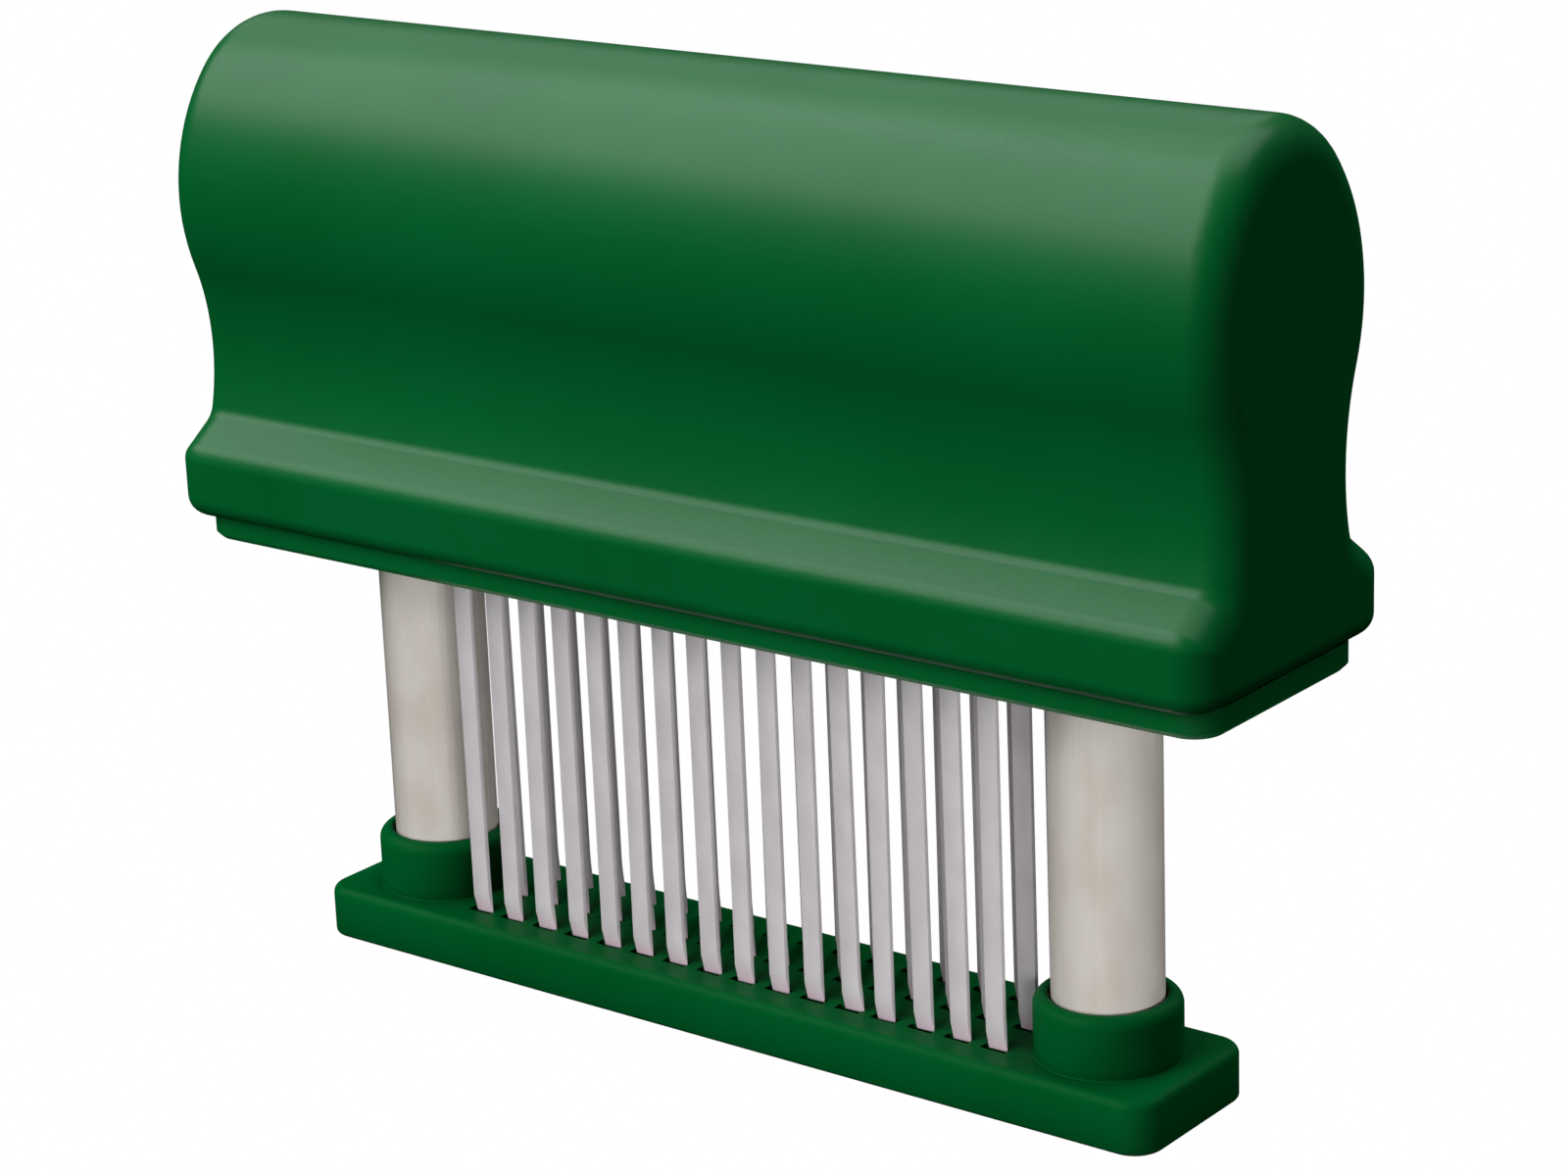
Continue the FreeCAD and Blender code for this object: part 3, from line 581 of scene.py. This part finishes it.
def bladeMesh(form, name, flare):
    points, rings = [], []

    def ring(width, thick, z, wider=0.0, behind=0.0):
        corner = min(form["edgeRound"], thick * 0.45)  # less than half the strip
        middles = [(x + wider * (x > 0), y + behind) for x, y in
                   fourCorners(width / 2 - corner, thick / 2 - corner)]
        rings.append(addRing(points, [(x, y, z - form["pivot"]) for x, y, a, b in
                                      roundedOutline(middles, corner, form["edgeSteps"])]))

    width, thick, tip, bevel = (form[key] for key in ("width", "thick", "tip", "bevel"))
    ring(width, form["tipThick"], tip, flare, (thick - form["tipThick"]) / 2)
    for rise, share in form["flareFade"]:
        ring(width, thick, tip + bevel + rise, flare * share)
    ring(width, thick, form["top"])
    ring(form["headWidth"], thick, form["top"])
    ring(form["headWidth"], thick, form["headTop"])
    faces = [face for low, high in zip(rings, rings[1:]) for face in facesBetween(low, high)]
    faces += [tuple(reversed(rings[0])), tuple(rings[-1])]
    shape = meshFrom(name, points, faces)
    softShade(shape, form["crease"])
    kind = bpy.data.objects.new(name, shape)
    scene.collection.objects.link(kind)
    return kind


def bladeTree(material, kinds):
    tree, given, result = newTree("bladeField", {
        **gridInputs, "Height": "Float", "Seed": "Int", "Lean": "Float", "Sway": "Float"})
    stock = addNode(tree, "GeometryNodeGeometryToInstance")
    for kind in kinds:
        info = addNode(tree, "GeometryNodeObjectInfo", in_Object=kind)
        link(tree, info.outputs["Geometry"], stock.inputs[0])
    reach = addNode(tree, "ShaderNodeCombineXYZ")
    for socket in ("X", "Y"):
        link(tree, given.outputs["Lean"], reach.inputs[socket])
    sway = addNode(tree, "ShaderNodeCombineXYZ")
    link(tree, given.outputs["Sway"], sway.inputs["Y"])
    lean = addNode(tree, "FunctionNodeRandomValue", data_type="FLOAT_VECTOR")
    for name, operation in (("Min", "SUBTRACT"), ("Max", "ADD")):
        limit = addNode(tree, "ShaderNodeVectorMath", operation=operation)
        link(tree, sway.outputs[0], limit.inputs[0])
        link(tree, reach.outputs[0], limit.inputs[1])
        link(tree, limit.outputs[0], lean.inputs[name])
    pick = addNode(tree, "FunctionNodeRandomValue", data_type="INT")
    for socket in pick.inputs:
        if socket.enabled and socket.name in ("Min", "Max"):
            socket.default_value = 0 if socket.name == "Min" else len(kinds) - 1
    stand = addNode(tree, "GeometryNodeInstanceOnPoints", in_Pick_Instance=True)
    link(tree, gridPoints(tree, given), stand.inputs["Points"])
    link(tree, stock.outputs[0], stand.inputs["Instance"])
    for drawn, target in ((pick, "Instance Index"), (lean, "Rotation")):
        link(tree, given.outputs["Seed"], drawn.inputs["Seed"])
        link(tree, [socket for socket in drawn.outputs if socket.enabled][0], stand.inputs[target])
    return closeTree(tree, raised(tree, stand.outputs[0], given.outputs["Height"]), result, material)


kinds = [bladeMesh(blade, f"bladeKind{number}", flare) for number, flare in enumerate(blade["flares"])]
values = millimetres({**blade["field"], "Height": blade["pivot"]})
for name, angle in blade["turns"].items():
    values[name] = -math.radians(angle)
rowsMesh = growMesh("bladeRows", bpy.data.meshes.new("rows"), bladeTree(bladeSteel, kinds), values)
for kind in kinds:
    bpy.data.objects.remove(kind)
finishPiece("bladeRows", rowsMesh, "handle", "blade_steel", bladeSteel,
            "blades_front_row", "blades_middle_row", "blades_rear_row")
print("blades done:", len(rowsMesh.polygons), "faces")

# the springs inside the posts, wound once at the height of their parts; the real ones shorten as the foot
# slides up
spring = {"wire": 0.8, "coil": 4.2, "turns": 11.0, "perTurn": 16, "sides": 8, "travel": 35.5,
          "side": foot["postX"], "crease": 50}


def springTree(form, material):
    tree, given, result = newTree("springCoil", {
        "Turns": "Float", "Coil Radius": "Float", "Wire Radius": "Float", "Height": "Float",
        "Place": "Vector"})
    path = addNode(tree, "GeometryNodeCurveSpiral", in_Resolution=form["perTurn"])
    for name, socket in (("Turns", "Rotations"), ("Coil Radius", "Start Radius"),
                         ("Coil Radius", "End Radius"), ("Height", "Height")):
        link(tree, given.outputs[name], path.inputs[socket])
    section = addNode(tree, "GeometryNodeCurvePrimitiveCircle", in_Resolution=form["sides"])
    link(tree, given.outputs["Wire Radius"], section.inputs["Radius"])
    wound = addNode(tree, "GeometryNodeCurveToMesh", in_Fill_Caps=True)
    link(tree, path.outputs[0], wound.inputs["Curve"])
    link(tree, section.outputs[0], wound.inputs["Profile Curve"])
    return closeTree(tree, moved(tree, wound.outputs[0], given.outputs["Place"]), result, material)


coil = springTree(spring, springWire)
for name, side in (("Left", -1), ("Right", 1)):
    low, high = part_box("spring_" + name.lower())
    half = spring["wire"] * 0.0005  # half the wire, in metres
    wound = growMesh("spring" + name, bpy.data.meshes.new("coil"), coil, {
        "Turns": spring["turns"], "Coil Radius": spring["coil"] * 0.001, "Wire Radius": half,
        "Height": high[2] - low[2] - 2 * half,
        "Place": (side * spring["side"] * 0.001, 0.0, low[2] + half)})
    softShade(wound, spring["crease"])
    piece = finishPiece("spring" + name, wound, "foot", "spring_steel", springWire,
                        "spring_" + name.lower())
    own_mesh(piece)
    print("spring done:", len(wound.polygons), "faces,", round((high[2] - low[2]) * 1000, 2), "mm")

# the floor is seen from above only, and it throws no light back
ground = {"side": 8, "drop": 0.0002}
bpy.ops.mesh.primitive_plane_add(size=ground["side"], location=(0, 0, -ground["drop"]))
floor = bpy.context.object
floor.name = "floor"
floorPaint, tree, shader = newMaterial("floorPaint")
tree.nodes.remove(shader)
rays = addNode(tree, "ShaderNodeLightPath")
facing = addNode(tree, "ShaderNodeNewGeometry")
seen = addNode(tree, "ShaderNodeMath", operation="GREATER_THAN")
clear = addNode(tree, "ShaderNodeBsdfTransparent")
pale = addNode(tree, "ShaderNodeEmission")
either = addNode(tree, "ShaderNodeMixShader")
link(tree, rays.outputs["Is Camera Ray"], seen.inputs[0])
link(tree, facing.outputs["Backfacing"], seen.inputs[1])
for number, source in enumerate((seen, clear, pale)):
    link(tree, source.outputs[0], either.inputs[number])
link(tree, either.outputs[0], tree.nodes["Material Output"].inputs["Surface"])
floor.data.materials.append(floorPaint)
print("floor done")

# studio lights, some of them for a few pieces only
steelNames = ("bladeRows", "post_left", "post_right")
underNames = ("guardFoot", "bottom_cover", "foot_screws", "cover_screws")
studio = {
    "left": {"place": (-0.58, -0.50, 0.84), "size": (1.3, 0.75), "power": 7.5, "gleam": True},
    "top": {"place": (-0.05, 0.10, 1.10), "size": (1.4, 1.0), "power": 7.5, "gleam": True},
    "behind": {"place": (-0.75, 0.75, 0.92), "size": (1.1, 0.8), "power": 1.9, "gleam": True,
               "only": ("handleMoulding", "bottom_cover")},
    "front": {"place": (-0.30, -1.25, 0.75), "size": (1.2, 0.9), "power": 17.0, "gleam": False},
    "rear": {"place": (0.10, 1.30, 0.62), "size": (1.0, 0.8), "power": 11.0, "gleam": False},
    "steelRear": {"place": (-0.40, 1.20, 0.20), "size": (0.8, 0.3), "power": 7.0, "gleam": False,
                  "only": steelNames},
    "under": {"place": (0.15, -0.40, -1.00), "size": (1.0, 1.0), "power": 7.0, "gleam": True,
              "only": underNames},
    "right": {"place": (1.30, -0.25, 0.12), "size": (0.8, 0.2), "power": 1.2, "gleam": False},
    "steelLeft": {"place": (-0.30, -1.20, 0.12), "size": (0.8, 0.3), "power": 0.9, "gleam": False,
                  "only": steelNames},
    "steelRight": {"place": (1.00, -0.75, 0.15), "size": (0.6, 0.3), "power": 14.0, "gleam": False,
                   "only": steelNames},
}
lightAim = Vector((0, 0, 0.08))
for name, lamp in studio.items():
    data = bpy.data.lights.new(name, "AREA")
    data.shape = "RECTANGLE"
    data.size, data.size_y = lamp["size"]
    data.energy = lamp["power"]
    light = bpy.data.objects.new(name, data)
    scene.collection.objects.link(light)
    light.location = lamp["place"]
    light.rotation_euler = (lightAim - light.location).to_track_quat("-Z", "Y").to_euler()
    light.visible_glossy = lamp["gleam"]
    if "only" in lamp:
        lit = bpy.data.collections.new(name + "Parts")
        for part in lamp["only"]:
            lit.objects.link(bpy.data.objects[part])
        light.light_linking.receiver_collection = lit

# the white surround is bright to the camera and dim as a light
surround = {"light": 0.04, "seen": 1.0}
world = bpy.data.worlds.new("studio")
scene.world = world
world.cycles_visibility.glossy = False  # the plastic's dark sides stay clean green
world.use_nodes = True
tree = world.node_tree
backdrop = tree.nodes["Background"]
backdrop.inputs["Color"].default_value = (1, 1, 1, 1)
rays = addNode(tree, "ShaderNodeLightPath")
level = spread(tree, rays.outputs["Is Camera Ray"], surround["light"], surround["seen"], 0.0, 1.0)
link(tree, level, backdrop.inputs["Strength"])
scene.view_settings.view_transform = "Standard"
print("studio done:", len(studio), "lights")

viewpoint = {"place": (0.283095, -0.352523, 0.194881), "azimuth": 38.204, "elevation": 17.55,
             "roll": -2.162, "lens": 95.03, "sensor": 36, "nearest": 0.01}
turn, lift, roll = (math.radians(viewpoint[key]) for key in ("azimuth", "elevation", "roll"))
back = Vector((math.sin(turn) * math.cos(lift), -math.cos(turn) * math.cos(lift), math.sin(lift)))
right = Vector((0, 0, 1)).cross(back).normalized()
up = back.cross(right)
across = right * math.cos(roll) + up * math.sin(roll)
upright = up * math.cos(roll) - right * math.sin(roll)
lens = bpy.data.cameras.new("camera")
lens.lens = viewpoint["lens"]
lens.sensor_width = viewpoint["sensor"]
lens.clip_start = viewpoint["nearest"]
camera = bpy.data.objects.new("camera", lens)
camera.matrix_world = Matrix.Translation(viewpoint["place"]) @ Matrix(
    (across, upright, back)).transposed().to_4x4()
scene.collection.objects.link(camera)
scene.camera = camera
